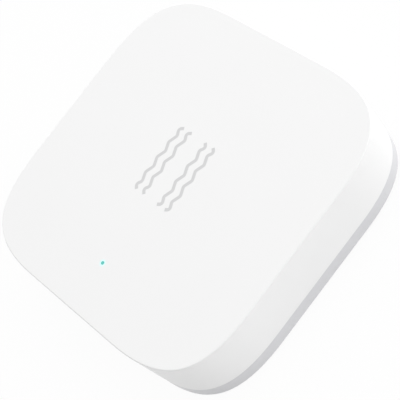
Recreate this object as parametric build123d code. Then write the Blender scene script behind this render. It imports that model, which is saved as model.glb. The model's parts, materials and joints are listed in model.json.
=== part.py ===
from build123d import *
from math import sqrt
import os

os.makedirs("parts", exist_ok=True)

# All sizes are in millimetres. The origin is under the middle of the tag, on the surface that the
# adhesive pad meets. +Z points up through the roof, and the status light lies towards -Y.

# Driving sizes of the case
case_side = 44.0
head_room = 2.6
corner_reach = 13.1
corner_pull_share = 0.727
crown_rise = 0.3
wall = 1.6
roof = 1.5
top_edge_round = 0.16
base_band = 2.4
base_edge_round = 0.3

# Clearances that several pieces share
fit_gap = 0.1
seat_gap = 0.15
running_gap = 0.3
overrun = 1.0

# Coin cell
cell_diameter = 20.0
cell_height = 3.2
cell_sheet = 0.25
cell_edge_round = 0.3
cell_seal_width = 0.9
cell_cap_stand = 0.2
cell_cap_round = 0.12
cell_mouth_drop = 0.1
lithium_height = 0.6

# Adhesive pad and its shallow seat
pad_proud = 0.5
pad_seat = 0.3
pad_inset = 2.6
pad_ring_share = 0.24
pad_corner_round = 0.12

# Battery cover, its three lugs, its gasket and its cushion
cover_floor = 1.5
cover_rim = 0.9
cover_edge_round = 0.2
hub_wall = 1.3
lug_count = 3
lug_reach = 1.2
lug_height = 0.7
lug_spread = 24.0
lug_play = 2.0
lock_turn = 30.0
lug_lift_gap = 0.1
lug_roof_gap = 0.2
stop_spread = 4.0
ledge = 0.7
gasket_width = 0.55
gasket_height = 0.42
gasket_squeeze_gap = 0.05
cushion = 0.4
cushion_inset = 1.6
coin_slot_length = 14.0
coin_slot_width = 2.0
coin_slot_depth = 0.9
mark_depth = 0.2
pointer_size = 0.9
pointer_inset = 1.9
lock_dot = 0.35
lock_ring_wall = 0.15

# Base tray: lip, snap hooks and the wall around the cell
lip_wall = 0.9
lip_height = 1.1
hook_width = 6.0
hook_height = 2.3
hook_barb = 0.45
hook_barb_height = 0.9
hook_barb_land = 0.2
channel_wall = 1.0
channel_roof = 0.7
guide_wall = 1.0
guide_drop = 0.3
notch_play = 0.4

# Board, its screws and the bosses that carry it
board_thickness = 1.0
board_gap = 0.5
contact_room = 0.5
boss_share = 0.46
boss_radius = 2.0
boss_hole_floor = 0.35
screw_radius = 0.8
screw_head_radius = 1.5
screw_head_height = 0.9
screw_head_round = 0.4
screw_bite = 2.0
screw_recess = 1.5
screw_recess_width = 0.35
screw_recess_depth = 0.45
rib_width = 0.8
rib_height = 0.5
rib_offset = 6.5

# Contact springs
sheet = 0.2
contact_bend = 0.25
plus_width = 4.0
plus_foot = 2.4
plus_leg = 2.0
plus_toe = 0.5
minus_width = 2.2
minus_pad = 4.0
minus_arm = 3.4
minus_tip = 0.8
touch_gap = 0.03

# Reset switch on the board and the pinhole in the wall
switch_depth = 2.8
switch_length = 4.2
switch_height = 1.9
switch_back = 0.9
switch_set_back = 0.9
plunger_width = 2.0
plunger_height = 0.9
plunger_stand = 0.8
plunger_gap = 0.06
plunger_round = 0.15
press_travel = 0.25
pinhole_radius = 0.6
pinhole_flare = 0.2

# Status light and light pipe
light_inset = 7.15
led_length = 1.6
led_width = 0.8
led_base = 0.25
led_height = 0.6
pipe_tip_radius = 0.24
pipe_stem_radius = 1.0
pipe_collar_radius = 1.6
pipe_collar = 0.7
pipe_led_gap = 0.15
pipe_fit = 0.02
sleeve_wall = 0.7
sleeve_height = 1.2

# Wave marks in the roof
wave_step = 1.25
wave_swing = 0.27
wave_stroke = 0.48
wave_bend_radius = 0.4
wave_pitch = 1.54
wave_pair_spacing = 4.98
wave_centre = 0.45
wave_depth = 0.2
wave_hook_rise = 0.95
wave_hook_tip = 0.38
wave_hook_reach = 0.7
wave_tail_drop = 0.7
wave_tail_tip = 0.55
wave_tail_reach = 0.55

# Parts on the upper face of the board
radio_side = 7.0
radio_height = 0.85
memory_length = 4.0
memory_width = 3.0
memory_height = 0.75
motion_side = 3.0
motion_height = 0.95
pin_mark_radius = 0.25
pin_mark_depth = 0.08
crystal_length = 3.2
crystal_width = 2.5
crystal_height = 0.7
crystal_base = 0.3
crystal_lid_inset = 0.2
clock_length = 3.2
clock_width = 1.5
clock_height = 0.8
tank_length = 3.5
tank_width = 2.8
tank_height = 1.9
tank_foot = 0.6
leg_sheet = 0.15
guard_length = 2.9
guard_width = 1.3
guard_height = 1.0
guard_leg_width = 0.4
guard_leg_reach = 0.55
guard_leg_pitch = 1.9
chip_length = 1.0
chip_width = 0.5
chip_height = 0.5
chip_end = 0.22
resistor_height = 0.3
chip_pitch = 1.5
capacitor_count = 6
resistor_count = 4
coil_length = 1.6
coil_width = 0.8
coil_height = 0.8
coil_end = 0.35
coil_pitch = 2.4
coil_count = 2
end_cap_stand = 0.03

# Antenna track and test pads
antenna_sheet = 0.1
antenna_track = 0.6
antenna_pitch = 1.5
antenna_bars = 11
antenna_depth = 3.6
antenna_edge_gap = 1.2
antenna_feed = 2.2
test_pad_radius = 0.6
test_pad_sheet = 0.1
test_pad_count = 5
test_pad_pitch = 2.0
test_pad_edge_gap = 2.4

# Places on the board, as shares of half its width, chosen by hand
radio_shares = (0.30, 0.24)
memory_shares = (-0.36, 0.30)
motion_shares = (-0.10, -0.20)
crystal_shares = (0.66, 0.24)
clock_shares = (0.30, -0.10)
tank_shares = (-0.42, -0.30)
guard_shares = (0.46, -0.42)
capacitor_shares = (-0.36, 0.02)
resistor_shares = (0.26, -0.72)
coil_shares = (-0.02, 0.56)

# Levels
base_bottom = pad_proud
parting = base_bottom + base_band
ledge_bottom = base_bottom + cover_rim + fit_gap
floor_top = ledge_bottom + ledge
lug_bottom = floor_top + lug_lift_gap
lug_top = lug_bottom + lug_height
channel_top = lug_top + lug_roof_gap
channel_cap = channel_top + channel_roof
cover_top = base_bottom + cover_floor
cell_bottom = cover_top + cushion + fit_gap
cell_top = cell_bottom + cell_height
board_bottom = cell_top + contact_room
board_top = board_bottom + board_thickness
rim_level = board_top + head_room + roof
peak = rim_level + crown_rise
guide_top = board_bottom - guide_drop
hook_catch = parting + lip_height + fit_gap
hook_top = parting + hook_height
plunger_level = board_top + switch_height / 2

# Plan sizes
case_half = case_side / 2
board_inset = wall + board_gap
board_half = case_half - board_inset
light_place = case_half - light_inset
lip_outer = wall + fit_gap
lip_inner = lip_outer + lip_wall
corner_cut_share = (4 - 3 * corner_pull_share) / 8
inset_share = (1 - sqrt(1 / 2)) / corner_cut_share
board_corner = board_half - (corner_reach - board_inset * inset_share) * corner_cut_share
crown_radius = (case_half**2 + crown_rise**2) / (2 * crown_rise)
crown_centre = peak - crown_radius
dome_reach = case_half * sqrt(2)

# Radii around the cell, from the middle outwards
cell_radius = cell_diameter / 2
cell_cap_radius = cell_radius - cell_sheet - cell_seal_width
cell_core_radius = cell_cap_radius - cell_sheet
guide_inner = cell_radius + running_gap
guide_outer = guide_inner + guide_wall
hub_inner = guide_inner + fit_gap
hub_outer = hub_inner + hub_wall
ledge_radius = hub_outer + running_gap
lug_outer = hub_outer + lug_reach
channel_radius = lug_outer + running_gap
channel_outer = channel_radius + channel_wall
gasket_inner = channel_radius + fit_gap
gasket_outer = gasket_inner + gasket_width
cover_radius = gasket_outer + fit_gap
cover_seat_radius = cover_radius + seat_gap
channel_corner = channel_outer / sqrt(2)
boss_offset = channel_corner + boss_share * (board_corner - channel_corner)
pad_half = case_half - pad_inset
pad_hole_radius = cover_seat_radius + pad_ring_share * (pad_half - cover_seat_radius)


def case_outline(inset):
    """Rounded square of the case, moved in by inset, with soft corners that keep the wall even."""
    half = case_half - inset
    reach = corner_reach - inset * inset_share
    flat = half - reach
    handle = half - reach * (1 - corner_pull_share)
    side = Line((half, -flat), (half, flat))
    corner = Bezier((half, flat), (half, handle), (handle, half), (flat, half))
    quarter = Curve() + [side, corner]
    edges = [Rot(Z=90 * turn) * quarter for turn in range(4)]
    return make_face(Curve() + edges)


def prism(face, low, high):
    return Pos(0, 0, low) * extrude(face, high - low)


def disc(radius, low, high):
    return prism(Circle(radius), low, high)


def ring(outer, inner, low, high):
    return prism(Circle(outer) - Circle(inner), low, high)


def block(length, width, low, high):
    return prism(Rectangle(length, width), low, high)


def case_frame(outer_inset, inner_inset, low, high):
    return prism(case_outline(outer_inset) - case_outline(inner_inset), low, high)


def sector(outer, inner, middle, spread, low, high):
    """Part of a ring between two radii, centred on the angle middle."""
    start = middle - spread / 2
    outer_arc = CenterArc((0, 0), outer, start, spread)
    inner_arc = CenterArc((0, 0), inner, start, spread)
    first = Line(outer_arc @ 0, inner_arc @ 0)
    last = Line(outer_arc @ 1, inner_arc @ 1)
    return prism(make_face(Curve() + [outer_arc, inner_arc, first, last]), low, high)


def dome(drop):
    """The space from the base's underside up to the crowned roof surface, lowered by drop."""
    radius = crown_radius - drop
    top = crown_centre + radius
    edge = crown_centre + sqrt(radius**2 - dome_reach**2)
    middle = crown_centre + sqrt(radius**2 - (dome_reach / 2) ** 2)
    arc = ThreePointArc((0, top), (dome_reach / 2, middle), (dome_reach, edge))
    floor = Line((0, base_bottom), (dome_reach, base_bottom))
    side = Line((dome_reach, base_bottom), (dome_reach, edge))
    axis = Line((0, top), (0, base_bottom))
    return revolve(Plane.XZ * make_face(Curve() + [arc, side, floor, axis]), Axis.Z)


def roof_height(distance, drop):
    """Height of the crowned surface, lowered by drop, at a distance from the middle."""
    return crown_centre + sqrt((crown_radius - drop) ** 2 - distance**2)


def on_board(shares):
    return Pos(shares[0] * board_half, shares[1] * board_half, 0)


def boss_places():
    signs = [(1, 1), (-1, 1), (-1, -1), (1, -1)]
    return [Pos(x * boss_offset, y * boss_offset, 0) for x, y in signs]


def lug_angles():
    return [360 / lug_count * index for index in range(lug_count)]


def wave_line():
    """Middle line of one mark: even bends, a hook at the top and a tail at the bottom."""
    last = 3 * wave_step
    bends = [((-1) ** (step + 1) * wave_swing, step * wave_step) for step in range(3, -4, -1)]
    hook_bend = last + wave_hook_rise
    tail_bend = -last - wave_tail_drop
    hook_end = (wave_hook_reach - wave_swing, hook_bend + wave_hook_tip)
    tail_end = (wave_tail_reach - wave_swing, tail_bend - wave_tail_tip)
    hook = [hook_end, (-wave_swing, hook_bend)]
    tail = [(-wave_swing, tail_bend), tail_end]
    return FilletPolyline(*hook, *bends, *tail, radius=wave_bend_radius)


def wave_strokes():
    """Two marks left of the middle, and the same two turned half round on the right."""
    stroke = trace(wave_line(), line_width=wave_stroke)
    outer = wave_pair_spacing / 2 + wave_pitch / 2
    inner = wave_pair_spacing / 2 - wave_pitch / 2
    strokes = [Pos(-place, 0, 0) * stroke for place in (outer, inner)]
    strokes += [Rot(Z=180) * copy for copy in strokes]
    return [Pos(0, wave_centre, 0) * copy for copy in strokes]


def make_wave_marks():
    lid = dome(0)
    bars = [prism(stroke, peak - wave_depth, peak + overrun) for stroke in wave_strokes()]
    return Part() + [bar & lid for bar in bars]


def pipe_hole():
    ceiling = roof_height(light_place, roof)
    return Pos(0, -light_place, 0) * disc(pipe_tip_radius + pipe_fit, ceiling - overrun, peak + overrun)


def pipe_sleeve():
    ceiling = roof_height(light_place, roof)
    inner = pipe_collar_radius + fit_gap
    wall_ring = ring(inner + sleeve_wall, inner, ceiling - sleeve_height, ceiling + roof / 2)
    return Pos(0, -light_place, 0) * wall_ring


def ceiling_ribs():
    """Low ribs under the roof, two each way."""
    length = 2 * (case_half - wall)
    low = roof_height(boss_offset, roof) - rib_height
    places = [(Rot(Z=turn) * Pos(0, side * rib_offset, 0)) for turn in (0, 90) for side in (1, -1)]
    return [place * block(length, rib_width, low, rim_level - roof / 2) for place in places]


def boss_hole(low):
    top = roof_height(boss_offset * sqrt(2), roof) + boss_hole_floor
    return disc(screw_radius + fit_gap / 2, low, top)


def hook_windows():
    depth = hook_barb + seat_gap
    middle = case_half - wall + depth / 2 - overrun / 2
    window = block(depth + overrun, hook_width + 2 * running_gap, hook_catch - fit_gap, hook_top + fit_gap)
    return [Rot(Z=90 * turn) * Pos(middle, 0, 0) * window for turn in range(4)]


def pinhole():
    bore = Cylinder(pinhole_radius, wall + 2 * overrun)
    mouth = Cone(pinhole_radius, pinhole_radius + pinhole_flare, pinhole_flare)
    tilt = Rot(Y=-90)
    drilled = Pos(-case_half + wall / 2, 0, plunger_level) * tilt * bore
    flared = Pos(-case_half + pinhole_flare / 2, 0, plunger_level) * tilt * mouth
    return [drilled, flared]


def make_top_shell():
    """White upper shell: crowned roof and straight walls down to the parting plane."""
    outer = prism(case_outline(0), parting, peak + overrun) & dome(0)
    crown = outer.faces().sort_by(Axis.Z)[-1]
    outer = fillet(crown.edges(), top_edge_round)
    room = prism(case_outline(wall), parting, peak) & dome(roof)
    bosses = [place * disc(boss_radius, board_top, rim_level - roof / 2) for place in boss_places()]
    room -= ceiling_ribs()
    room -= bosses
    room -= pipe_sleeve()
    shell = outer - room
    shell -= [place * boss_hole(board_top) for place in boss_places()]
    shell -= [prism(stroke, peak - wave_depth, peak + overrun) for stroke in wave_strokes()]
    shell -= pipe_hole()
    shell -= hook_windows()
    shell -= pinhole()
    return shell


def make_light_pipe():
    """Clear pipe: a thin tip in the roof, a collar under the ceiling and a stem over the light."""
    ceiling = roof_height(light_place + pipe_collar_radius, roof) - fit_gap
    foot = board_top + led_height + pipe_led_gap
    tip = disc(pipe_tip_radius, ceiling - pipe_collar / 2, peak + overrun)
    collar = disc(pipe_collar_radius, ceiling - pipe_collar, ceiling)
    stem = disc(pipe_stem_radius, foot, ceiling - pipe_collar)
    return (Pos(0, -light_place, 0) * (tip + collar + stem)) & dome(0)


def snap_hook():
    """One hook on the +X side: an arm along the wall and a barb that slopes off upwards."""
    face = case_half - lip_outer
    arm = block(lip_wall, hook_width, floor_top - fit_gap, hook_top)
    slope = [
        (face - fit_gap, hook_catch),
        (face + hook_barb, hook_catch),
        (face + hook_barb, hook_catch + hook_barb_land),
        (face, hook_catch + hook_barb_height),
        (face - fit_gap, hook_catch + hook_barb_height),
    ]
    barb = extrude(Plane.XZ * make_face(Polyline(*slope, close=True)), hook_width / 2, both=True)
    return Pos(face - lip_wall / 2, 0, 0) * arm + barb


def lug_track():
    """Ring round the lugs, its roof, the wall that guides the cell, and the end stops."""
    track = ring(channel_outer, channel_radius, floor_top - fit_gap, channel_cap)
    track += ring(channel_outer, guide_inner, channel_top, channel_cap)
    track += ring(guide_outer, guide_inner, channel_cap - fit_gap, guide_top)
    reach = lug_spread / 2 + lug_play + stop_spread / 2
    angles = [angle + reach for angle in lug_angles()]
    angles += [angle - lock_turn - reach for angle in lug_angles()]
    for angle in angles:
        track += sector(channel_outer, ledge_radius, angle, stop_spread, floor_top - fit_gap, channel_cap)
    return track


def contact_notch():
    width = plus_width + 2 * notch_play
    notch = block(width, guide_wall + 2 * running_gap, channel_cap, guide_top + overrun)
    return Pos(0, guide_inner + guide_wall / 2, 0) * notch


def lock_marks():
    """A dot where the cover's pointer rests locked, and a small ring where it is free."""
    radius = (cover_seat_radius + pad_hole_radius) / 2
    top = base_bottom + mark_depth
    dot = Pos(0, -radius, 0) * disc(lock_dot, base_bottom - overrun, top)
    hollow = Pos(0, -radius, 0) * ring(lock_dot, lock_dot - lock_ring_wall, base_bottom - overrun, top)
    return [dot, Rot(Z=-lock_turn) * hollow]


def pad_seat_cut():
    frame = case_outline(pad_inset - seat_gap) - Circle(pad_hole_radius - seat_gap)
    return prism(frame, base_bottom - overrun, base_bottom + pad_seat)


def make_base_tray():
    """Light grey tray: floor, visible band, lip, hooks and the bayonet track of the cover."""
    floor = prism(case_outline(0), base_bottom, floor_top)
    lowest = floor.faces().sort_by(Axis.Z)[0]
    floor = fillet(lowest.edges(), base_edge_round)
    tray = floor + case_frame(0, lip_inner, floor_top, parting)
    tray += case_frame(lip_outer, lip_inner, floor_top, parting + lip_height)
    tray += [Rot(Z=90 * turn) * snap_hook() for turn in range(4)]
    tray -= disc(cover_seat_radius, base_bottom - overrun, ledge_bottom)
    tray -= disc(ledge_radius, base_bottom - overrun, floor_top + overrun)
    tray += lug_track()
    opening = lug_spread + 2 * lug_play
    for angle in lug_angles():
        way = angle - lock_turn
        slot = sector(channel_radius, ledge_radius - fit_gap, way, opening, base_bottom, floor_top)
        tray -= slot
    tray -= contact_notch()
    tray -= pad_seat_cut()
    tray -= lock_marks()
    return tray


def make_adhesive_pad():
    frame = case_outline(pad_inset) - Circle(pad_hole_radius)
    pad = prism(frame, 0, base_bottom + pad_seat)
    lowest = pad.faces().sort_by(Axis.Z)[0]
    return chamfer(lowest.edges(), pad_corner_round)


def make_battery_cover():
    """Round cover: rim, raised middle with a hub and three lugs, and a coin slot below."""
    plate = disc(cover_radius, base_bottom, base_bottom + cover_rim)
    lowest = plate.faces().sort_by(Axis.Z)[0]
    plate = fillet(lowest.edges(), cover_edge_round)
    gasket_level = ledge_bottom - gasket_squeeze_gap - gasket_height
    cover = plate - ring(cover_radius + overrun, gasket_inner, gasket_level, ledge_bottom)
    cover += disc(hub_outer, base_bottom + cover_rim / 2, cover_top)
    cover += ring(hub_outer, hub_inner, cover_top, lug_top)
    for angle in lug_angles():
        cover += sector(lug_outer, hub_inner, angle, lug_spread, lug_bottom, lug_top)
    slot = SlotOverall(coin_slot_length, coin_slot_width)
    cover -= prism(slot, base_bottom - overrun, base_bottom + coin_slot_depth)
    pointer = Rot(Z=-90) * RegularPolygon(pointer_size, 3)
    pointer = Pos(0, pointer_inset - cover_radius, 0) * pointer
    cover -= prism(pointer, base_bottom - overrun, base_bottom + mark_depth)
    return cover


def make_cover_gasket():
    top = ledge_bottom - gasket_squeeze_gap
    gasket = ring(gasket_outer, gasket_inner, top - gasket_height, top)
    return fillet(gasket.edges(), gasket_squeeze_gap)


def make_cell_cushion():
    return disc(cell_radius - cushion_inset, cover_top, cover_top + cushion)


def make_cell_can():
    """Steel can of the coin cell, plus side down, with its mouth towards the board."""
    can = disc(cell_radius, cell_bottom, cell_top - cell_cap_stand)
    lowest = can.faces().sort_by(Axis.Z)[0]
    can = fillet(lowest.edges(), cell_edge_round)
    return can - disc(cell_radius - cell_sheet, cell_bottom + cell_sheet, cell_top)


def make_cell_seal():
    top = cell_top - cell_cap_stand - cell_mouth_drop
    return ring(cell_radius - cell_sheet, cell_cap_radius, cell_bottom + cell_sheet, top)


def make_cell_cap():
    """Thin steel cap, minus side up, open towards the can's floor."""
    cap = disc(cell_cap_radius, cell_bottom + cell_sheet, cell_top)
    highest = cap.faces().sort_by(Axis.Z)[-1]
    cap = fillet(highest.edges(), cell_cap_round)
    return cap - disc(cell_core_radius, cell_bottom, cell_top - cell_sheet)


def make_cathode_pellet():
    return disc(cell_core_radius, cell_bottom + cell_sheet, cell_top - cell_sheet - lithium_height)


def make_lithium_disc():
    return disc(cell_core_radius, cell_top - cell_sheet - lithium_height, cell_top - cell_sheet)


def bent_strip(points, width):
    """Sheet metal bent along points in the YZ plane, with its width along X."""
    middle = FilletPolyline(*points, radius=contact_bend)
    face = trace(middle, line_width=sheet)
    return extrude(Plane.YZ * face, width / 2, both=True)


def make_positive_contact():
    """Foot under the board and a leg down beside the can, with a toe that leads the cell in."""
    level = board_bottom - sheet / 2
    leg = cell_radius + touch_gap + sheet / 2
    points = [
        (leg + plus_foot, level),
        (leg, level),
        (leg, level - plus_leg + plus_toe),
        (leg + plus_toe / 2, level - plus_leg),
    ]
    return bent_strip(points, plus_width)


def make_negative_contact():
    """Middle pad under the board with two spring arms that reach down to the cell's cap."""
    level = board_bottom - sheet / 2
    touch = cell_top + touch_gap + sheet / 2
    shoulder = minus_pad / 2
    points = [
        (shoulder + minus_arm + minus_tip, (level + touch) / 2),
        (shoulder + minus_arm, touch),
        (shoulder, level),
    ]
    mirrored = [(-place, height) for place, height in reversed(points)]
    return bent_strip(points + mirrored, minus_width)


def make_main_board():
    board = prism(case_outline(board_inset), board_bottom, board_top)
    holes = [place * disc(screw_radius + fit_gap, board_bottom, board_top) for place in boss_places()]
    return board - holes


def one_screw():
    """Pan head under the board, with a cross recess and a shank up into the boss."""
    head = disc(screw_head_radius, board_bottom - screw_head_height, board_bottom)
    lowest = head.faces().sort_by(Axis.Z)[0]
    head = fillet(lowest.edges(), screw_head_round)
    recess_top = board_bottom - screw_head_height + screw_recess_depth
    for turn in (0, 90):
        bar = block(screw_recess, screw_recess_width, board_bottom - screw_head_height - overrun, recess_top)
        head -= Rot(Z=turn) * bar
    return head + disc(screw_radius, board_bottom, board_top + screw_bite)


def make_board_screws():
    return Part() + [place * one_screw() for place in boss_places()]


def marked_chip(length, width, height):
    """Moulded chip with a round mark at its first pin."""
    body = block(length, width, board_top, board_top + height)
    mark = disc(pin_mark_radius, board_top + height - pin_mark_depth, board_top + height)
    corner = Pos(3 * pin_mark_radius - length / 2, width / 2 - 3 * pin_mark_radius, 0)
    return body - corner * mark


def make_radio_chip():
    return on_board(radio_shares) * marked_chip(radio_side, radio_side, radio_height)


def make_memory_chip():
    return on_board(memory_shares) * marked_chip(memory_length, memory_width, memory_height)


def make_motion_chip():
    return on_board(motion_shares) * marked_chip(motion_side, motion_side, motion_height)


def make_main_crystal():
    base = block(crystal_length, crystal_width, board_top, board_top + crystal_base)
    lid_length = crystal_length - 2 * crystal_lid_inset
    lid_width = crystal_width - 2 * crystal_lid_inset
    lid = block(lid_length, lid_width, board_top + crystal_base, board_top + crystal_height)
    return on_board(crystal_shares) * (base + lid)


def make_clock_crystal():
    base = block(clock_length, clock_width, board_top, board_top + crystal_base)
    lid_length = clock_length - 2 * crystal_lid_inset
    lid_width = clock_width - 2 * crystal_lid_inset
    lid = block(lid_length, lid_width, board_top + crystal_base, board_top + clock_height)
    return on_board(clock_shares) * (base + lid)


def make_bulk_capacitor():
    """Moulded block with a metal foot folded under each end."""
    body = block(tank_length, tank_width, board_top + leg_sheet, board_top + tank_height)
    place = tank_length / 2 - tank_foot / 2
    foot = block(tank_foot, tank_width - tank_foot, board_top, board_top + tank_height / 2)
    feet = [Pos(side * (place + leg_sheet), 0, 0) * foot for side in (1, -1)]
    return on_board(tank_shares) * (body + feet)


def make_protection_transistor():
    """Three-legged body: two legs on one long side and one on the other."""
    body = block(guard_length, guard_width, board_top + leg_sheet, board_top + guard_height)
    reach = guard_width / 2 + guard_leg_reach
    leg = block(guard_leg_width, reach, board_top, board_top + 2 * leg_sheet)
    places = [(guard_leg_pitch / 2, 1), (-guard_leg_pitch / 2, 1), (0, -1)]
    legs = [Pos(x, side * reach / 2, 0) * leg for x, side in places]
    return on_board(guard_shares) * (body + legs)


def end_capped(length, width, height, end):
    """Small two-ended part with a slightly thicker metal cap on each end."""
    body = block(length, width, board_top + end_cap_stand, board_top + height - end_cap_stand)
    cap = block(end, width + 2 * end_cap_stand, board_top, board_top + height)
    caps = [Pos(side * (length - end) / 2, 0, 0) * cap for side in (1, -1)]
    return body + caps


def row_of(piece, count, pitch):
    start = -(count - 1) * pitch / 2
    return Part() + [Pos(0, start + index * pitch, 0) * piece for index in range(count)]


def make_capacitors():
    piece = end_capped(chip_length, chip_width, chip_height, chip_end)
    return on_board(capacitor_shares) * Rot(Z=90) * row_of(piece, capacitor_count, chip_pitch)


def make_resistors():
    piece = end_capped(chip_length, chip_width, resistor_height, chip_end)
    return on_board(resistor_shares) * Rot(Z=90) * row_of(piece, resistor_count, chip_pitch)


def make_inductors():
    piece = end_capped(coil_length, coil_width, coil_height, coil_end)
    return on_board(coil_shares) * row_of(piece, coil_count, coil_pitch)


def make_status_led():
    base = block(led_length, led_width, board_top, board_top + led_base)
    lens = block(led_length / 2, led_width, board_top + led_base, board_top + led_height)
    return Pos(0, -light_place, 0) * (base + lens)


def make_antenna():
    """Flat track on the board that winds to and fro along the +Y edge."""
    start = -(antenna_bars - 1) / 2
    bar = Rectangle(antenna_track, antenna_depth)
    link = Rectangle(antenna_pitch + antenna_track, antenna_track)
    track = Sketch()
    for index in range(antenna_bars):
        track += Pos((start + index) * antenna_pitch, 0) * bar
    for index in range(antenna_bars - 1):
        side = 1 if index % 2 == 0 else -1
        place = (start + index + 1 / 2) * antenna_pitch
        track += Pos(place, side * (antenna_depth - antenna_track) / 2) * link
    feed = Rectangle(antenna_track, antenna_feed)
    track += Pos(start * antenna_pitch, -(antenna_depth + antenna_feed) / 2) * feed
    middle = board_half - antenna_edge_gap - antenna_depth / 2
    return Pos(0, middle, 0) * prism(track, board_top, board_top + antenna_sheet)


def make_test_pads():
    pad = disc(test_pad_radius, board_bottom - test_pad_sheet, board_bottom)
    row = Rot(Z=90) * row_of(pad, test_pad_count, test_pad_pitch)
    return Pos(0, test_pad_edge_gap - board_half, 0) * row


def switch_front():
    return -board_half + switch_set_back


def make_switch_body():
    """Side-press switch at the -X edge of the board, with a pocket for its plunger."""
    body = block(switch_depth, switch_length, board_top, board_top + switch_height)
    pocket_depth = switch_depth - switch_back
    pocket_width = plunger_width + 2 * plunger_gap
    low = plunger_level - plunger_height / 2 - plunger_gap
    high = plunger_level + plunger_height / 2 + plunger_gap
    pocket = block(pocket_depth + overrun, pocket_width, low, high)
    body -= Pos(pocket_depth / 2 - overrun / 2 - switch_depth / 2, 0, 0) * pocket
    return Pos(switch_front() + switch_depth / 2, 0, 0) * body


def make_switch_plunger():
    """Plunger that the reset pin presses inwards, along +X."""
    length = plunger_stand + switch_depth - switch_back - press_travel - fit_gap
    low = plunger_level - plunger_height / 2
    high = plunger_level + plunger_height / 2
    bar = block(length, plunger_width, low, high)
    front = bar.faces().sort_by(Axis.X)[0]
    bar = fillet(front.edges(), plunger_round)
    return Pos(switch_front() - plunger_stand + length / 2, 0, 0) * bar


pieces = {
    "top_shell": make_top_shell,
    "wave_marks": make_wave_marks,
    "light_pipe": make_light_pipe,
    "base_tray": make_base_tray,
    "adhesive_pad": make_adhesive_pad,
    "battery_cover": make_battery_cover,
    "cover_gasket": make_cover_gasket,
    "cell_cushion": make_cell_cushion,
    "cell_can": make_cell_can,
    "cell_seal": make_cell_seal,
    "cell_cap": make_cell_cap,
    "cathode_pellet": make_cathode_pellet,
    "lithium_disc": make_lithium_disc,
    "positive_contact": make_positive_contact,
    "negative_contact": make_negative_contact,
    "main_board": make_main_board,
    "board_screws": make_board_screws,
    "radio_chip": make_radio_chip,
    "memory_chip": make_memory_chip,
    "motion_chip": make_motion_chip,
    "main_crystal": make_main_crystal,
    "clock_crystal": make_clock_crystal,
    "bulk_capacitor": make_bulk_capacitor,
    "protection_transistor": make_protection_transistor,
    "capacitors": make_capacitors,
    "resistors": make_resistors,
    "inductors": make_inductors,
    "status_led": make_status_led,
    "antenna": make_antenna,
    "test_pads": make_test_pads,
    "switch_body": make_switch_body,
    "switch_plunger": make_switch_plunger,
}

for name, make in pieces.items():
    export_step(make(), f"parts/{name}.step")
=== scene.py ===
"""Finishes for a small vibration sensor tag, laid out as an add-on and run as a script."""

import json
import math

import bmesh
import bpy
from bpy.props import FloatProperty, FloatVectorProperty, PointerProperty
from bpy.types import Operator, Panel, PropertyGroup
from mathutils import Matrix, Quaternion, Vector


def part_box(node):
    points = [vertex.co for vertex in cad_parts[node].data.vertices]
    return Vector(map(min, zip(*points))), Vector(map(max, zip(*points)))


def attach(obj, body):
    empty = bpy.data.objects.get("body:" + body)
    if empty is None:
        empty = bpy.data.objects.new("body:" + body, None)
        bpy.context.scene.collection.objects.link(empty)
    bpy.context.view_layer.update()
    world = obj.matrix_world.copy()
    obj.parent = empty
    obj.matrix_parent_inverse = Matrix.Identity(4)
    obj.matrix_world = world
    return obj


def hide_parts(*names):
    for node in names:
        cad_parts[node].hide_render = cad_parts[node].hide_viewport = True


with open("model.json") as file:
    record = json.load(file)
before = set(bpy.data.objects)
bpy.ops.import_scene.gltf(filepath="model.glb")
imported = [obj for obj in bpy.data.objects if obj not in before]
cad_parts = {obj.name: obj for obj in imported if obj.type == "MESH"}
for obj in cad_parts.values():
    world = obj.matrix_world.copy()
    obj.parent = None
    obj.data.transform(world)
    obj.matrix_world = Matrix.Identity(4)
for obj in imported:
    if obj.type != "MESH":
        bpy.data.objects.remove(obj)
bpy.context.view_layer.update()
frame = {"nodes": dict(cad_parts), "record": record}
slots = {entry["slot"]: entry["base_color"] for entry in frame["record"]["materials"]}

bl_info = {
    "name": "Vibration Sensor Tag",
    "version": (1, 0, 0),
    "blender": (4, 5, 0),
    "location": "3D View > Sidebar > Sensor Tag",
    "description": "Finishes for a small vibration sensor and a stage to see it on",
    "category": "Material",
}

MM = 0.001
WHITE = (1.0, 1.0, 1.0, 1.0)
BLACK = (0.0, 0.0, 0.0, 1.0)
FULL_STRENGTH = 1.0

# Width over which one finish turns into another
SEAM = 0.01 * MM

# Middle value of soft noise
NOISE_MIDDLE = 0.5

# Grain of moulded plastic
FINE_GRAIN = 0.09 * MM
GRAIN_DEPTH = 0.0008 * MM

# Inset of a round edge's middle, as a share of its rounding
CORNER_INSET = 0.29

# Points on each side and on each corner of a rounded square
SQUARE_STEPS = 24

# How far a corner's handles reach towards its tip, as a share of the corner
CORNER_PULL = 0.727

# Levels where the pad's side stops swelling and swells most, as shares of its height
BULGE_TOP = 0.7
BULGE_LEVEL = 0.4

# Radii of the cushion's inner loops, as shares of its radius
HUB_SHARE = 0.02
HALFWAY = 0.5

# Sockets of the colour Mix node
MIX_FACTOR = 0
MIX_FIRST = 6
MIX_SECOND = 7
MIX_RESULT = 2

# Places of the axes in a vector
X_AXIS = 0
Y_AXIS = 1
Z_AXIS = 2

# Width of the camera's sensor, in millimetres, and the range that the camera sees
SENSOR_WIDTH = 36.0
NEAREST = 5 * MM
FARTHEST = 10.0


def colour_property(name, description, default):
    """A colour setting."""
    return FloatVectorProperty(
        name=name, description=description, default=default, size=3, min=0.0, max=1.0, subtype="COLOR"
    )


def slot_colour(name, description, slot):
    """A colour setting that starts at the record's colour for a slot."""
    return colour_property(name, description, slots[slot])


def length_property(name, description, default):
    """A length setting, in metres."""
    return FloatProperty(
        name=name, description=description, default=default, min=0.0, unit="LENGTH", precision=6
    )


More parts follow.
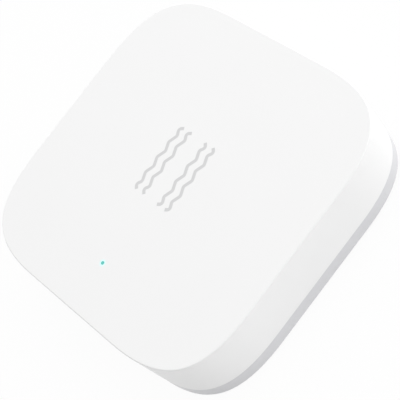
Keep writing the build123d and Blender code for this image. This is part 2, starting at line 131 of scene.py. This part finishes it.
def share_property(name, description, default):
    """A setting from 0 to 1."""
    return FloatProperty(
        name=name, description=description, default=default, min=0.0, max=1.0, subtype="FACTOR"
    )


def amount_property(name, description, default, least=0.0):
    """A setting with a least value and no unit."""
    return FloatProperty(name=name, description=description, default=default, min=least)


def angle_property(name, description, degrees):
    """An angle setting."""
    return FloatProperty(
        name=name, description=description, default=math.radians(degrees), subtype="ANGLE"
    )


class ShellSettings(PropertyGroup):
    colour: colour_property("Shell colour", "Colour of the white moulded shell", (0.9, 0.9, 0.9))
    roughness: share_property("Roughness", "How matt the moulded faces are", 0.31)
    grain: length_property("Grain", "Width of the fine moulded grain", FINE_GRAIN)
    grain_depth: length_property("Grain depth", "Depth of the fine moulded grain", GRAIN_DEPTH)
    # Painted light: the halo colour and the glow stand in for LED light that spills through the plastic
    # round the light pipe.
    painted_spill_colour: colour_property("Halo", "Tint of the plastic round the light", (0.72, 0.93, 0.93))
    glow: colour_property("Glow", "Light that the plastic lets through there", (0.0, 0.12, 0.12))
    halo_reach: length_property("Halo reach", "How far the halo spreads from the light", 0.62 * MM)
    halo_core: share_property("Halo core", "Share of the reach that the halo fills evenly", 0.35)
    halo_depth: length_property("Halo depth", "How far under the tip the halo is full", 0.2 * MM)


class MarkSettings(PropertyGroup):
    colour: colour_property("Mark colour", "Colour of the wavy marks", (0.66, 0.66, 0.665))
    roughness: share_property("Roughness", "How matt the marks are", 0.5)
    grain: length_property("Grain", "Width of the marks' grain", 0.07 * MM)


class PipeSettings(PropertyGroup):
    colour: colour_property("Pipe colour", "Colour of the clear pipe, lit from below", (0.12, 0.5, 0.46))
    light: colour_property("Light", "Light that leaves the tip", (0.01, 0.12, 0.1))
    roughness: share_property("Roughness", "How matt the pipe is", 0.15)


class BaseSettings(PropertyGroup):
    colour: colour_property("Base colour", "Colour of the tray and the cover", (0.675, 0.675, 0.695))
    roughness: share_property("Roughness", "How matt the tray is", 0.31)


class PadSettings(PropertyGroup):
    colour: slot_colour("Pad colour", "Colour of the foam pad", "foam_pad")
    corner_reach: length_property("Corner reach", "Length of the pad's round corners", 9.75 * MM)
    opening: length_property("Opening", "Radius of the pad's round opening", 15.37 * MM)
    edge_round: length_property("Edge rounding", "Rounding of the pad's cut edges", 0.12 * MM)
    bulge: length_property("Bulge", "How far the foam's sides swell", 0.04 * MM)
    fill: share_property("Fill", "How tight the foam is", 0.9)
    roughness: share_property("Roughness", "How matt the foam is", 0.75)
    cell: length_property("Foam cell", "Width of the foam's cells", 0.16 * MM)
    cell_depth: length_property("Cell depth", "Depth of the foam's cells", 0.02 * MM)
    # Painted shade: the pits are the low middles of the foam's cells, coloured darker where shade would
    # fall in them.
    pit: share_property("Pit", "Reach of the dark pit in each cell", 0.25)
    pit_painted_shade: share_property("Pit shade", "Colour of a pit, as a share of the pad's", 0.86)
    pit_roughness: share_property("Pit roughness", "How matt a pit is", 0.85)


class RubberSettings(PropertyGroup):
    colour: slot_colour("Rubber colour", "Colour of the gasket and the cell's cushion", "dark_rubber")
    roughness: share_property("Roughness", "How matt the rubber is", 0.7)
    edge_round: length_property("Edge rounding", "Rounding of the cushion's edges", 0.12 * MM)
    fill: share_property("Fill", "How tight the cushion is", 0.8)


class CellSettings(PropertyGroup):
    steel: slot_colour("Steel", "Colour of the cell's can and cap", "cell_steel")
    seal: slot_colour("Seal", "Colour of the nylon seal", "white_nylon")
    pellet: slot_colour("Pellet", "Colour of the pressed cathode", "dark_pellet")
    lithium: slot_colour("Lithium", "Colour of the lithium disc", "soft_lithium")


class BoardSettings(PropertyGroup):
    mask: slot_colour("Solder mask", "Colour of the board", "board_green")
    gold: slot_colour("Gold", "Colour of the bare plated tracks", "gold_track")
    spring: slot_colour("Spring strip", "Colour of the contact springs", "spring_steel")
    screw: slot_colour("Screws", "Colour of the board's screws", "screw_steel")
    core: colour_property("Core", "Colour of the board's cut edge", (0.45, 0.42, 0.25))
    mask_depth: length_property("Mask depth", "Height of the mask on the board's edge", 0.05 * MM)
    track: length_property("Track", "Width of the tracks under the mask", 0.3 * MM)
    pitch: length_property("Pitch", "From one track's middle to the next one's", 0.9 * MM)
    track_shade: amount_property("Track shade", "Brightness of a track against the mask", 1.35)
    track_edge: share_property("Track edge", "Softness of a track's edge, in pitches", 0.04)
    track_stretch: amount_property("Track stretch", "How long the tracks run", 7.0, least=1.0)
    bundle: amount_property("Bundle", "Width of a bundle of tracks, in pitches", 2.4)
    laid_from: share_property("Laid from", "Noise above which tracks begin", 0.52)
    laid_full: share_property("Laid full", "Noise above which tracks are whole", 0.53)


class PartSettings(PropertyGroup):
    chip: slot_colour("Chips", "Colour of the moulded chips", "chip_black")
    crystal: slot_colour("Crystals", "Colour of the crystals' lids", "crystal_lid")
    tank: slot_colour("Bulk capacitor", "Colour of its moulded body", "tank_ochre")
    capacitor: slot_colour("Capacitors", "Colour of the small capacitors", "capacitor_tan")
    resistor: slot_colour("Resistors", "Colour of the small resistors", "resistor_black")
    coil: slot_colour("Coils", "Colour of the small coils", "coil_grey")
    lens: slot_colour("Status light", "Colour of the status light", "led_white")
    switch: slot_colour("Switch", "Colour of the reset switch", "switch_black")
    plunger: slot_colour("Plunger", "Colour of the reset switch's plunger", "plunger_white")
    tin: colour_property("Tin", "Colour of tinned ends and legs", (0.62, 0.62, 0.6))
    ceramic: colour_property("Ceramic", "Colour of the crystals' bases", (0.3, 0.28, 0.26))
    lid_level: length_property("Lid level", "Height of a crystal's base under its lid", 0.3 * MM)
    body_roughness: share_property("Body roughness", "How matt the parts' bodies are", 0.55)
    switch_grain: length_property("Switch grain", "Width of the grain on the switch", 0.06 * MM)


class StageSettings(PropertyGroup):
    floor: colour_property("Floor colour", "Colour of the floor", (0.9, 0.9, 0.9))
    white_share: share_property("Floor white", "How much of the floor is seen as plain white", 0.94)
    azimuth: angle_property("Azimuth", "Side that the camera stands on", 83.89)
    elevation: angle_property("Elevation", "How high the camera stands", 52.85)
    roll: angle_property("Roll", "Turn of the camera about its view", -47.65)
    distance: length_property("Distance", "From the camera to the point that it looks at", 145.2 * MM)
    lens: amount_property("Lens", "Focal length of the camera, in millimetres", 103.65, least=1.0)
    aim: FloatVectorProperty(
        name="Aim", description="Point that the camera looks at",
        default=(6.41 * MM, -1.02 * MM, 11.61 * MM), size=3, unit="LENGTH", precision=6,
    )
    sky: amount_property("Sky", "Strength of the even light", 1.06)
    least_sky: amount_property("Least sky", "Strength on the sky's darkest side", 0.2)
    lean: FloatVectorProperty(
        name="Lean", description="How much brighter the sky is towards +X, +Y and +Z",
        default=(-0.06, 0.85, -0.06), size=3,
    )
    key: amount_property("Key", "Power of the soft lamp, in watts", 0.03)
    key_size: length_property("Key size", "Width of the soft lamp", 0.5)
    key_place: FloatVectorProperty(
        name="Key place", description="Where the soft lamp hangs",
        default=(0.25, 0.4, 0.45), size=3, unit="LENGTH",
    )
    floor_size: length_property("Floor size", "Half the width of the floor", 2.0)
    floor_gap: length_property("Floor gap", "How far the floor lies below the pad", 0.02 * MM)


class Socket:
    """A node's output that Python arithmetic works on; each operation adds one Math node."""

    def __init__(self, nodes, output):
        self.nodes = nodes
        self.output = output

    def math(self, operation, *values):
        """The result of a Math node."""
        return self.nodes.node("ShaderNodeMath", {"operation": operation}, dict(enumerate(values)))

    def __add__(self, other):
        return self.math("ADD", self, other)

    def __radd__(self, other):
        return self.math("ADD", other, self)

    def __sub__(self, other):
        return self.math("SUBTRACT", self, other)

    def __rsub__(self, other):
        return self.math("SUBTRACT", other, self)

    def __mul__(self, other):
        return self.math("MULTIPLY", self, other)

    def __rmul__(self, other):
        return self.math("MULTIPLY", other, self)

    def __truediv__(self, other):
        return self.math("DIVIDE", self, other)

    def __pow__(self, other):
        return self.math("POWER", self, other)

    def __abs__(self):
        return self.math("ABSOLUTE", self)

    def larger(self, other):
        """The larger of two values."""
        return self.math("MAXIMUM", self, other)

    def fraction(self):
        """The part after the decimal point."""
        return self.math("FRACT", self)

    def step(self, low, high):
        """0 at low and 1 at high, with a smooth step between them."""
        settings = {"interpolation_type": "SMOOTHSTEP"}
        return self.nodes.node(
            "ShaderNodeMapRange", settings, {"Value": self, "From Min": low, "From Max": high}
        )


class Nodes:
    """A node tree that is being filled."""

    def __init__(self, tree):
        self.tree = tree
        tree.nodes.clear()

    def node(self, kind, settings=None, inputs=None, output=0):
        """Adds a node, sets it up and gives one of its outputs."""
        node = self.tree.nodes.new(kind)
        for name, value in (settings or {}).items():
            setattr(node, name, value)
        for name, value in (inputs or {}).items():
            self.plug(node.inputs[name], value)
        return Socket(self, node.outputs[output])

    def plug(self, socket, value):
        """Links an input to a socket, or sets it to a plain value."""
        if isinstance(value, Socket):
            self.tree.links.new(value.output, socket)
        else:
            socket.default_value = value

    def outputs(self, kind, *names):
        """Several outputs of one node."""
        node = self.node(kind).output.node
        return [Socket(self, node.outputs[name]) for name in names]

    def along(self, vector, way):
        """How far a vector reaches along a way."""
        settings = {"operation": "DOT_PRODUCT"}
        return self.node("ShaderNodeVectorMath", settings, {0: vector, 1: way}, output="Value")

    def seen(self):
        """1 for rays that show the background: to the camera, in a gloss and through glass."""
        camera, glossy, through = self.outputs(
            "ShaderNodeLightPath", "Is Camera Ray", "Is Glossy Ray", "Is Transmission Ray"
        )
        return camera.larger(glossy).larger(through)


class Paint(Nodes):
    """A material: one Principled shader, its layers of finish and the nodes that feed them."""

    def __init__(self, name, colour, roughness, metallic=0.0):
        self.material = bpy.data.materials.new(name)
        self.material.use_nodes = True
        super().__init__(self.material.node_tree)
        self.output = self.tree.nodes.new("ShaderNodeOutputMaterial")
        self.shader = self.tree.nodes.new("ShaderNodeBsdfPrincipled")
        self.tree.links.new(self.shader.outputs[0], self.output.inputs["Surface"])
        self.place = self.node("ShaderNodeTexCoord", output="Object")
        self.colour = full(colour)
        self.roughness = roughness
        self.metallic = metallic

    def mix(self, mask, first, second):
        """The first colour where mask is 0, and the second where it is 1."""
        inputs = {MIX_FACTOR: mask, MIX_FIRST: first, MIX_SECOND: second}
        return self.node("ShaderNodeMix", {"data_type": "RGBA"}, inputs, output=MIX_RESULT)

    def over(self, mask, colour, roughness, metallic=None):
        """Lays another finish over what is there, where mask is 1."""
        self.colour = self.mix(mask, self.colour, full(colour))
        self.roughness = self.roughness * (1 - mask) + roughness * mask
        if metallic is not None:
            self.metallic = self.metallic * (1 - mask) + metallic * mask

    def cloud(self, width, spread):
        """Makes the colour drift darker in soft patches, by up to twice the spread."""
        darker = self.mix(2 * spread, self.colour, BLACK)
        self.colour = self.mix(self.noise(width, detail=3.0), self.colour, darker)

    def smudge(self, width, spread):
        """Makes the roughness drift by up to spread either way."""
        drift = self.noise(width, detail=4.0) - NOISE_MIDDLE
        self.roughness = self.roughness + drift * (2 * spread)

    def noise(self, width, detail=2.0, stretch=(1.0, 1.0, 1.0)):
        """Soft noise whose lumps are about width across, stretched along the axes."""
        place = self.node("ShaderNodeVectorMath", {"operation": "DIVIDE"}, {0: self.place, 1: stretch})
        return self.node("ShaderNodeTexNoise", {}, {"Vector": place, "Scale": 1 / width, "Detail": detail})

    def grain(self, width, share):
        """Soft noise scaled down to a share, to add to a coarser relief."""
        return share * self.noise(width)

    def cells(self, width):
        """Distance from the middle of the nearest of many cells about width across."""
        return self.node("ShaderNodeTexVoronoi", {}, {"Vector": self.place, "Scale": 1 / width})

    def axes(self):
        """The place on the object along X, Y and Z."""
        node = self.node("ShaderNodeSeparateXYZ", {}, {0: self.place}).output.node
        return [Socket(self, node.outputs[axis]) for axis in (X_AXIS, Y_AXIS, Z_AXIS)]

    def far(self, x, y):
        """Distance from an upright line through x, y."""
        across, along, _ = self.axes()
        return ((across - x) ** 2 + (along - y) ** 2) ** 0.5

    def bump(self, height, depth):
        """Shades the surface as if height stood out of it by depth; the mesh stays as it is."""
        relief = self.node("ShaderNodeBump", {}, {"Height": height, "Distance": depth})
        self.plug(self.shader.inputs["Normal"], relief)

    def glow(self, colour):
        """Makes the surface give off light."""
        self.plug(self.shader.inputs["Emission Color"], colour)
        self.plug(self.shader.inputs["Emission Strength"], FULL_STRENGTH)

    def dress(self, *names):
        """Gives the finish to CAD nodes, or to new meshes."""
        self.plug(self.shader.inputs["Base Color"], self.colour)
        self.plug(self.shader.inputs["Roughness"], self.roughness)
        self.plug(self.shader.inputs["Metallic"], self.metallic)
        for name in names:
            piece = frame["nodes"][name] if name in frame["nodes"] else bpy.data.objects[name]
            piece.data.materials.clear()
            piece.data.materials.append(self.material)


def full(colour):
    """A colour with its alpha; a socket stays as it is."""
    return colour if isinstance(colour, Socket) or len(colour) == 4 else (*colour, 1.0)


def shade(colour, share):
    """A colour made darker or brighter."""
    return tuple(min(1.0, part * share) for part in colour)


def middle(name):
    """The middle of a CAD node's box."""
    low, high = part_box(name)
    return (Vector(low) + Vector(high)) / 2


def moulded(name, colour, roughness, grain=FINE_GRAIN, depth=GRAIN_DEPTH):
    """Moulded plastic: fine grain, faint cloudiness and slightly uneven gloss."""
    paint = Paint(name, colour, roughness)
    paint.cloud(width=9 * MM, spread=0.006)
    paint.smudge(width=2.5 * MM, spread=0.025)
    paint.bump(paint.noise(grain, detail=3.0), depth)
    return paint


def drawn_metal(name, colour, roughness, stretch, line=0.08 * MM, depth=0.002 * MM, uneven=0.12):
    """Plated metal with fine draw lines along the stretched axis."""
    paint = Paint(name, colour, roughness, metallic=1.0)
    paint.cloud(width=3 * MM, spread=0.03)
    lines = paint.noise(line, detail=4.0, stretch=stretch)
    paint.roughness = roughness + (lines - NOISE_MIDDLE) * uneven
    paint.bump(lines, depth)
    return paint


def add_mesh(name, body, loops):
    """A closed ring-shaped mesh: the loops run round, and the last one joins the first."""
    build = bmesh.new()
    rings = [[build.verts.new(point) for point in loop] for loop in loops]
    count = len(rings[0])
    for ring, after in zip(rings, rings[1:] + rings[:1]):
        for index in range(count):
            other = (index + 1) % count
            build.faces.new((ring[index], ring[other], after[other], after[index]))
    bmesh.ops.recalc_face_normals(build, faces=build.faces)
    for face in build.faces:
        face.smooth = True
    mesh = bpy.data.meshes.new(name)
    build.to_mesh(mesh)
    build.free()
    piece = bpy.data.objects.new(name, mesh)
    bpy.context.scene.collection.objects.link(piece)
    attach(piece, body)
    return piece


def rounded_square(half, reach):
    """Points round a rounded square whose corners are Bezier curves, from the +X side on."""
    steps = SQUARE_STEPS
    flat = half - reach
    handle = half - reach * (1 - CORNER_PULL)
    corner = [Vector((half, flat)), Vector((half, handle)), Vector((handle, half)), Vector((flat, half))]
    quarter = [Vector((half, -flat + 2 * flat * step / steps)) for step in range(steps)]
    for step in range(steps):
        t = step / steps
        weights = ((1 - t) ** 3, 3 * t * (1 - t) ** 2, 3 * t**2 * (1 - t), t**3)
        quarter.append(sum((point * weight for point, weight in zip(corner, weights)), Vector((0, 0))))
    turns = ((1, 0), (0, 1), (-1, 0), (0, -1))
    return [Vector((x * c - y * s, x * s + y * c)) for c, s in turns for x, y in quarter]


class SENSOR_OT_shell(Operator):
    """Dress the white upper shell, with painted LED light round the light pipe"""

    bl_idname = "sensor_tag.shell"
    bl_label = "Upper shell"

    def execute(self, context):
        values = context.scene.sensor_shell
        paint = moulded("white shell", values.colour, values.roughness, values.grain, values.grain_depth)
        light = middle("light_pipe")
        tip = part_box("light_pipe")[1][Z_AXIS]
        # Painted light: near the roof and within the halo's reach of the light pipe, the shell's colour
        # turns to the cyan spill colour and gives off a faint glow, standing in for LED light seen through
        # the plastic.
        core = values.halo_core * values.halo_reach
        painted_spill = 1 - paint.far(light.x, light.y).step(core, values.halo_reach)
        _, _, height = paint.axes()
        painted_spill = painted_spill * height.step(light.z, tip - values.halo_depth)
        paint.colour = paint.mix(painted_spill, paint.colour, full(values.painted_spill_colour))
        paint.glow(paint.mix(painted_spill, BLACK, full(values.glow)))
        paint.dress("top_shell")
        return {"FINISHED"}


class SENSOR_OT_marks(Operator):
    """Dress the wavy marks"""

    bl_idname = "sensor_tag.marks"
    bl_label = "Wavy marks"

    def execute(self, context):
        values = context.scene.sensor_marks
        moulded("wave marks", values.colour, values.roughness, values.grain).dress("wave_marks")
        return {"FINISHED"}


class SENSOR_OT_pipe(Operator):
    """Dress the light pipe"""

    bl_idname = "sensor_tag.pipe"
    bl_label = "Light pipe"

    def execute(self, context):
        values = context.scene.sensor_pipe
        paint = Paint("light pipe", values.colour, values.roughness)
        paint.cloud(width=0.4 * MM, spread=0.08)
        paint.smudge(width=0.3 * MM, spread=0.05)
        paint.glow(full(values.light))
        paint.dress("light_pipe")
        return {"FINISHED"}


class SENSOR_OT_base(Operator):
    """Dress the tray and the battery cover"""

    bl_idname = "sensor_tag.base"
    bl_label = "Tray and cover"

    def execute(self, context):
        values = context.scene.sensor_base
        moulded("grey base", values.colour, values.roughness).dress("base_tray", "battery_cover")
        return {"FINISHED"}


class SENSOR_OT_pad(Operator):
    """Build the foam pad under the tray"""

    bl_idname = "sensor_tag.pad"
    bl_label = "Foam pad"

    def execute(self, context):
        values = context.scene.sensor_pad
        piece = add_mesh("foam_pad", "sensor_body", self.loops(values))
        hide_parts("adhesive_pad")
        paint = Paint("foam", values.colour, values.roughness)
        cells = paint.cells(values.cell)
        # Painted shade: a darker colour in the low middle of each foam cell, which the bump below sets
        # deepest.
        shaded_pits = 1 - cells.step(0.0, values.pit)
        paint.over(shaded_pits, shade(values.colour, values.pit_painted_shade), values.pit_roughness)
        paint.cloud(width=4 * MM, spread=0.02)
        paint.smudge(width=1.5 * MM, spread=0.06)
        paint.bump(cells + paint.grain(width=0.07 * MM, share=0.4), values.cell_depth)
        paint.dress("foam_pad")
        return {"FINISHED"}

    def loops(self, values):
        """The pad's loops: down its outer side, across its underside, up its opening and back."""
        low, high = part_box("adhesive_pad")
        height = high[Z_AXIS] - low[Z_AXIS]
        half = high[X_AXIS]
        corner = values.edge_round
        # Inset and level of each loop down the outer side; the inner side mirrors it.
        side = [
            (corner / 2, height),
            (0.0, height - corner / 2),
            (0.0, height * BULGE_TOP),
            (-values.bulge, height * BULGE_LEVEL),
            (0.0, corner),
            (corner * CORNER_INSET, corner * CORNER_INSET),
            (corner, 0.0),
        ]
        outer = [self.outer_loop(half, values, inset, level) for inset, level in side]
        angles = [math.atan2(y, x) for x, y in rounded_square(half, values.corner_reach)]
        inner = []
        for inset, level in reversed(side):
            radius = values.opening + inset
            inner.append([(radius * math.cos(angle), radius * math.sin(angle), level) for angle in angles])
        below = self.between(outer[-1], inner[0])
        above = self.between(inner[-1], outer[0])
        return outer + below + inner + above

    def outer_loop(self, half, values, inset, level):
        """The pad's outline moved in by inset, at a level."""
        share = (half - inset) / half
        points = rounded_square(half, values.corner_reach)
        return [(x * share, y * share, level) for x, y in points]

    def between(self, first, last, count=5):
        """Loops that divide the flat face between two loops."""
        shares = [step / count for step in range(1, count)]
        return [[Vector(a).lerp(Vector(b), share) for a, b in zip(first, last)] for share in shares]


class SENSOR_OT_rubber(Operator):
    """Build the cushion under the cell and dress the gasket"""

    bl_idname = "sensor_tag.rubber"
    bl_label = "Gasket and cushion"

    def execute(self, context):
        values = context.scene.sensor_rubber
        piece = add_mesh("foam_cushion", "twist_cover", self.loops(values))
        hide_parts("cell_cushion")
        paint = Paint("dark rubber", values.colour, values.roughness)
        paint.cloud(width=1.2 * MM, spread=0.08)
        paint.smudge(width=0.8 * MM, spread=0.08)
        relief = paint.cells(width=0.12 * MM) + paint.grain(width=0.05 * MM, share=0.5)
        paint.bump(relief, depth=0.01 * MM)
        paint.dress("foam_cushion", "cover_gasket")
        return {"FINISHED"}

    def loops(self, values):
        """The cushion's loops: out along its underside, up its side and back along its top."""
        low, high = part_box("cell_cushion")
        radius = high[X_AXIS]
        bottom = low[Z_AXIS]
        top = high[Z_AXIS]
        corner = values.edge_round
        profile = [
            (HUB_SHARE * radius, bottom),
            (HALFWAY * radius, bottom),
            (radius - corner, bottom),
            (radius - CORNER_INSET * corner, bottom + CORNER_INSET * corner),
            (radius, bottom + corner),
            (radius, top - corner),
            (radius - CORNER_INSET * corner, top - CORNER_INSET * corner),
            (radius - corner, top),
            (HALFWAY * radius, top),
            (HUB_SHARE * radius, top),
        ]
        steps = 4 * SQUARE_STEPS
        turn = 2 * math.pi / steps
        angles = [turn * step for step in range(steps)]
        return [[(r * math.cos(angle), r * math.sin(angle), z) for angle in angles] for r, z in profile]


class SENSOR_OT_cell(Operator):
    """Dress the coin cell"""

    bl_idname = "sensor_tag.cell"
    bl_label = "Coin cell"

    def execute(self, context):
        values = context.scene.sensor_cell
        steel = drawn_metal("cell steel", values.steel, roughness=0.34, stretch=(1.0, 1.0, 12.0))
        steel.dress("cell_can", "cell_cap")
        moulded("cell seal", values.seal, roughness=0.4).dress("cell_seal")
        pellet = Paint("cathode", values.pellet, roughness=0.85)
        pellet.cloud(width=0.4 * MM, spread=0.15)
        pellet.bump(pellet.cells(width=0.1 * MM), depth=0.02 * MM)
        pellet.dress("cathode_pellet")
        lithium = drawn_metal("lithium", values.lithium, roughness=0.6, stretch=(1.0, 14.0, 1.0))
        lithium.dress("lithium_disc")
        return {"FINISHED"}


class SENSOR_OT_board(Operator):
    """Dress the board, its tracks, springs and screws"""

    bl_idname = "sensor_tag.board"
    bl_label = "Board and contacts"

    def execute(self, context):
        values = context.scene.sensor_board
        self.board(values)
        gold = drawn_metal("gold plate", values.gold, roughness=0.33, stretch=(8.0, 1.0, 1.0))
        gold.dress("antenna", "test_pads")
        spring = drawn_metal("spring strip", values.spring, roughness=0.34, stretch=(1.0, 12.0, 1.0))
        spring.dress("positive_contact", "negative_contact")
        screw = drawn_metal("screw steel", values.screw, roughness=0.35, stretch=(1.0, 1.0, 4.0))
        screw.dress("board_screws")
        return {"FINISHED"}

    def board(self, values):
        """Solder mask over tracks on both faces, and a bare cut edge."""
        low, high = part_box("main_board")
        bottom = low[Z_AXIS] + values.mask_depth
        top = high[Z_AXIS] - values.mask_depth
        paint = Paint("solder mask", values.mask, roughness=0.3)
        x, y, height = paint.axes()
        track = self.tracks(paint, x, values, (1.0, values.track_stretch, 1.0))
        track = track.larger(self.tracks(paint, y, values, (values.track_stretch, 1.0, 1.0)))
        paint.colour = paint.mix(track, paint.colour, full(shade(values.mask, values.track_shade)))
        edge = height.step(bottom, bottom + SEAM) * (1 - height.step(top - SEAM, top))
        paint.over(edge, values.core, roughness=0.7)
        paint.smudge(width=2 * MM, spread=0.05)
        paint.bump(track + paint.grain(width=0.2 * MM, share=0.3), depth=0.015 * MM)
        paint.dress("main_board")

    def tracks(self, paint, across, values, stretch):
        """Straight tracks side by side, laid only where a stretched noise is high."""
        from_middle = abs((across / values.pitch).fraction() - 0.5)
        half = 0.5 * values.track / values.pitch
        noise = paint.noise(values.bundle * values.pitch, detail=0.0, stretch=stretch)
        laid = noise.step(values.laid_from, values.laid_full)
        return laid * (1 - from_middle.step(half, half + values.track_edge))


class SENSOR_OT_parts(Operator):
    """Dress the small parts on the board"""

    bl_idname = "sensor_tag.parts"
    bl_label = "Board parts"

    def execute(self, context):
        values = context.scene.sensor_parts
        chip = Paint("chip resin", values.chip, values.body_roughness)
        chip.cloud(width=0.5 * MM, spread=0.1)
        chip.smudge(width=0.6 * MM, spread=0.06)
        chip.bump(chip.noise(width=0.05 * MM, detail=4.0), depth=0.006 * MM)
        chip.dress("radio_chip", "memory_chip", "motion_chip")
        # Finish, colour, node, the axis that its ends lie on and half the body's length along it
        tinned = (
            ("transistor", values.chip, "protection_transistor", Y_AXIS, 0.65 * MM),
            ("bulk capacitor", values.tank, "bulk_capacitor", X_AXIS, 1.75 * MM),
            ("capacitor", values.capacitor, "capacitors", Y_AXIS, 0.28 * MM),
            ("resistor", values.resistor, "resistors", Y_AXIS, 0.28 * MM),
            ("coil", values.coil, "inductors", X_AXIS, 0.45 * MM),
        )
        for name, colour, node, axis, body_half in tinned:
            self.tinned(values, name, colour, node, axis, body_half)
        self.lidded(values, "main crystal", "main_crystal")
        self.lidded(values, "clock crystal", "clock_crystal")
        lens = Paint("status light", values.lens, roughness=0.2)
        lens.cloud(width=0.3 * MM, spread=0.05)
        lens.smudge(width=0.3 * MM, spread=0.05)
        lens.dress("status_led")
        return {"FINISHED"}

    def tinned(self, values, name, colour, node, axis, body_half):
        """A body that turns to tinned metal past body_half from its middle, along an axis."""
        paint = Paint(name, colour, values.body_roughness)
        paint.cloud(width=0.3 * MM, spread=0.08)
        away = abs(paint.axes()[axis] - middle(node)[axis])
        paint.over(away.step(body_half - SEAM, body_half), values.tin, roughness=0.35, metallic=1.0)
        paint.smudge(width=0.2 * MM, spread=0.08)
        paint.bump(paint.noise(width=0.06 * MM, detail=4.0), depth=0.005 * MM)
        paint.dress(node)

    def lidded(self, values, name, node):
        """A ceramic base under a plated lid."""
        paint = Paint(name, values.ceramic, roughness=0.7)
        _, _, height = paint.axes()
        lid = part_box(node)[0][Z_AXIS] + values.lid_level
        paint.over(height.step(lid - SEAM, lid), values.crystal, roughness=0.3, metallic=1.0)
        paint.cloud(width=0.5 * MM, spread=0.05)
        paint.smudge(width=0.3 * MM, spread=0.08)
        paint.bump(paint.noise(width=0.08 * MM, detail=4.0), depth=0.004 * MM)
        paint.dress(node)


class SENSOR_OT_switch(Operator):
    """Dress the reset switch and its plunger"""

    bl_idname = "sensor_tag.switch"
    bl_label = "Reset switch"

    def execute(self, context):
        values = context.scene.sensor_parts
        grain = values.switch_grain
        moulded("switch body", values.switch, roughness=0.5, grain=grain).dress("switch_body")
        moulded("switch plunger", values.plunger, roughness=0.45, grain=grain).dress("switch_plunger")
        return {"FINISHED"}


class SENSOR_OT_stage(Operator):
    """Build the floor, the light and the camera"""

    bl_idname = "sensor_tag.stage"
    bl_label = "Stage"

    def execute(self, context):
        values = context.scene.sensor_stage
        self.floor(context, values)
        self.sky(context, values)
        self.lamp(context, values)
        self.camera(context, values)
        context.scene.view_settings.view_transform = "Standard"
        return {"FINISHED"}

    def floor(self, context, values):
        """A floor that is nearly plain white to look at and keeps the object's shadow."""
        build = bmesh.new()
        bmesh.ops.create_grid(build, x_segments=1, y_segments=1, size=values.floor_size)
        mesh = bpy.data.meshes.new("floor")
        build.to_mesh(mesh)
        build.free()
        floor = bpy.data.objects.new("floor", mesh)
        floor.location.z = -values.floor_gap
        context.scene.collection.objects.link(floor)
        paint = Paint("floor", values.floor, roughness=0.9)
        paint.cloud(width=300 * MM, spread=0.01)
        white = paint.node("ShaderNodeEmission", {}, {"Color": WHITE, "Strength": FULL_STRENGTH})
        shader = Socket(paint, paint.shader.outputs[0])
        share = paint.seen() * values.white_share
        mixed = paint.node("ShaderNodeMixShader", {}, {0: share, 1: shader, 2: white})
        paint.plug(paint.output.inputs["Surface"], mixed)
        paint.dress("floor")

    def sky(self, context, values):
        """Even light that grows towards one side, and plain white behind the object."""
        world = bpy.data.worlds.new("studio")
        world.use_nodes = True
        nodes = Nodes(world.node_tree)
        way = nodes.node("ShaderNodeTexCoord", output="Generated")
        light = nodes.along(way, values.lean) + values.sky
        seen = nodes.seen()
        strength = seen + (1 - seen) * light.larger(values.least_sky)
        background = nodes.node("ShaderNodeBackground", {}, {"Color": WHITE, "Strength": strength})
        output = world.node_tree.nodes.new("ShaderNodeOutputWorld")
        nodes.plug(output.inputs["Surface"], background)
        context.scene.world = world

    def lamp(self, context, values):
        """A weak soft lamp that faces the object."""
        data = bpy.data.lights.new("soft lamp", "AREA")
        data.shape = "DISK"
        data.size = values.key_size
        data.energy = values.key
        lamp = bpy.data.objects.new("soft lamp", data)
        lamp.location = values.key_place
        lamp.rotation_mode = "QUATERNION"
        lamp.rotation_quaternion = Vector(values.key_place).to_track_quat("Z", "Y")
        context.scene.collection.objects.link(lamp)

    def camera(self, context, values):
        """The camera, set by its side, height, roll, distance and aim."""
        level = math.cos(values.elevation)
        back = Vector((
            math.sin(values.azimuth) * level,
            -math.cos(values.azimuth) * level,
            math.sin(values.elevation),
        ))
        data = bpy.data.cameras.new("camera")
        data.sensor_width = SENSOR_WIDTH
        data.lens = values.lens
        data.clip_start = NEAREST
        data.clip_end = FARTHEST
        camera = bpy.data.objects.new("camera", data)
        camera.rotation_mode = "QUATERNION"
        camera.rotation_quaternion = back.to_track_quat("Z", "Y") @ Quaternion((0, 0, 1), values.roll)
        camera.location = Vector(values.aim) + back * values.distance
        context.scene.collection.objects.link(camera)
        context.scene.camera = camera


GROUPS = {
    "sensor_shell": ShellSettings,
    "sensor_marks": MarkSettings,
    "sensor_pipe": PipeSettings,
    "sensor_base": BaseSettings,
    "sensor_pad": PadSettings,
    "sensor_rubber": RubberSettings,
    "sensor_cell": CellSettings,
    "sensor_board": BoardSettings,
    "sensor_parts": PartSettings,
    "sensor_stage": StageSettings,
}
STEPS = (
    SENSOR_OT_shell,
    SENSOR_OT_marks,
    SENSOR_OT_pipe,
    SENSOR_OT_base,
    SENSOR_OT_pad,
    SENSOR_OT_rubber,
    SENSOR_OT_cell,
    SENSOR_OT_board,
    SENSOR_OT_parts,
    SENSOR_OT_switch,
    SENSOR_OT_stage,
)


class SENSOR_PT_panel(Panel):
    bl_label = "Sensor Tag"
    bl_idname = "SENSOR_PT_panel"
    bl_space_type = "VIEW_3D"
    bl_region_type = "UI"
    bl_category = "Sensor Tag"

    def draw(self, context):
        for step in STEPS:
            self.layout.operator(step.bl_idname)


def register():
    for name, group in GROUPS.items():
        bpy.utils.register_class(group)
        setattr(bpy.types.Scene, name, PointerProperty(type=group))
    for step in STEPS:
        bpy.utils.register_class(step)
    bpy.utils.register_class(SENSOR_PT_panel)


def unregister():
    bpy.utils.unregister_class(SENSOR_PT_panel)
    for step in reversed(STEPS):
        bpy.utils.unregister_class(step)
    for name, group in reversed(list(GROUPS.items())):
        delattr(bpy.types.Scene, name)
        bpy.utils.unregister_class(group)


def main():
    register()
    for step in STEPS:
        group, name = step.bl_idname.split(".")
        getattr(getattr(bpy.ops, group), name)()


if __name__ == "__main__":
    main()
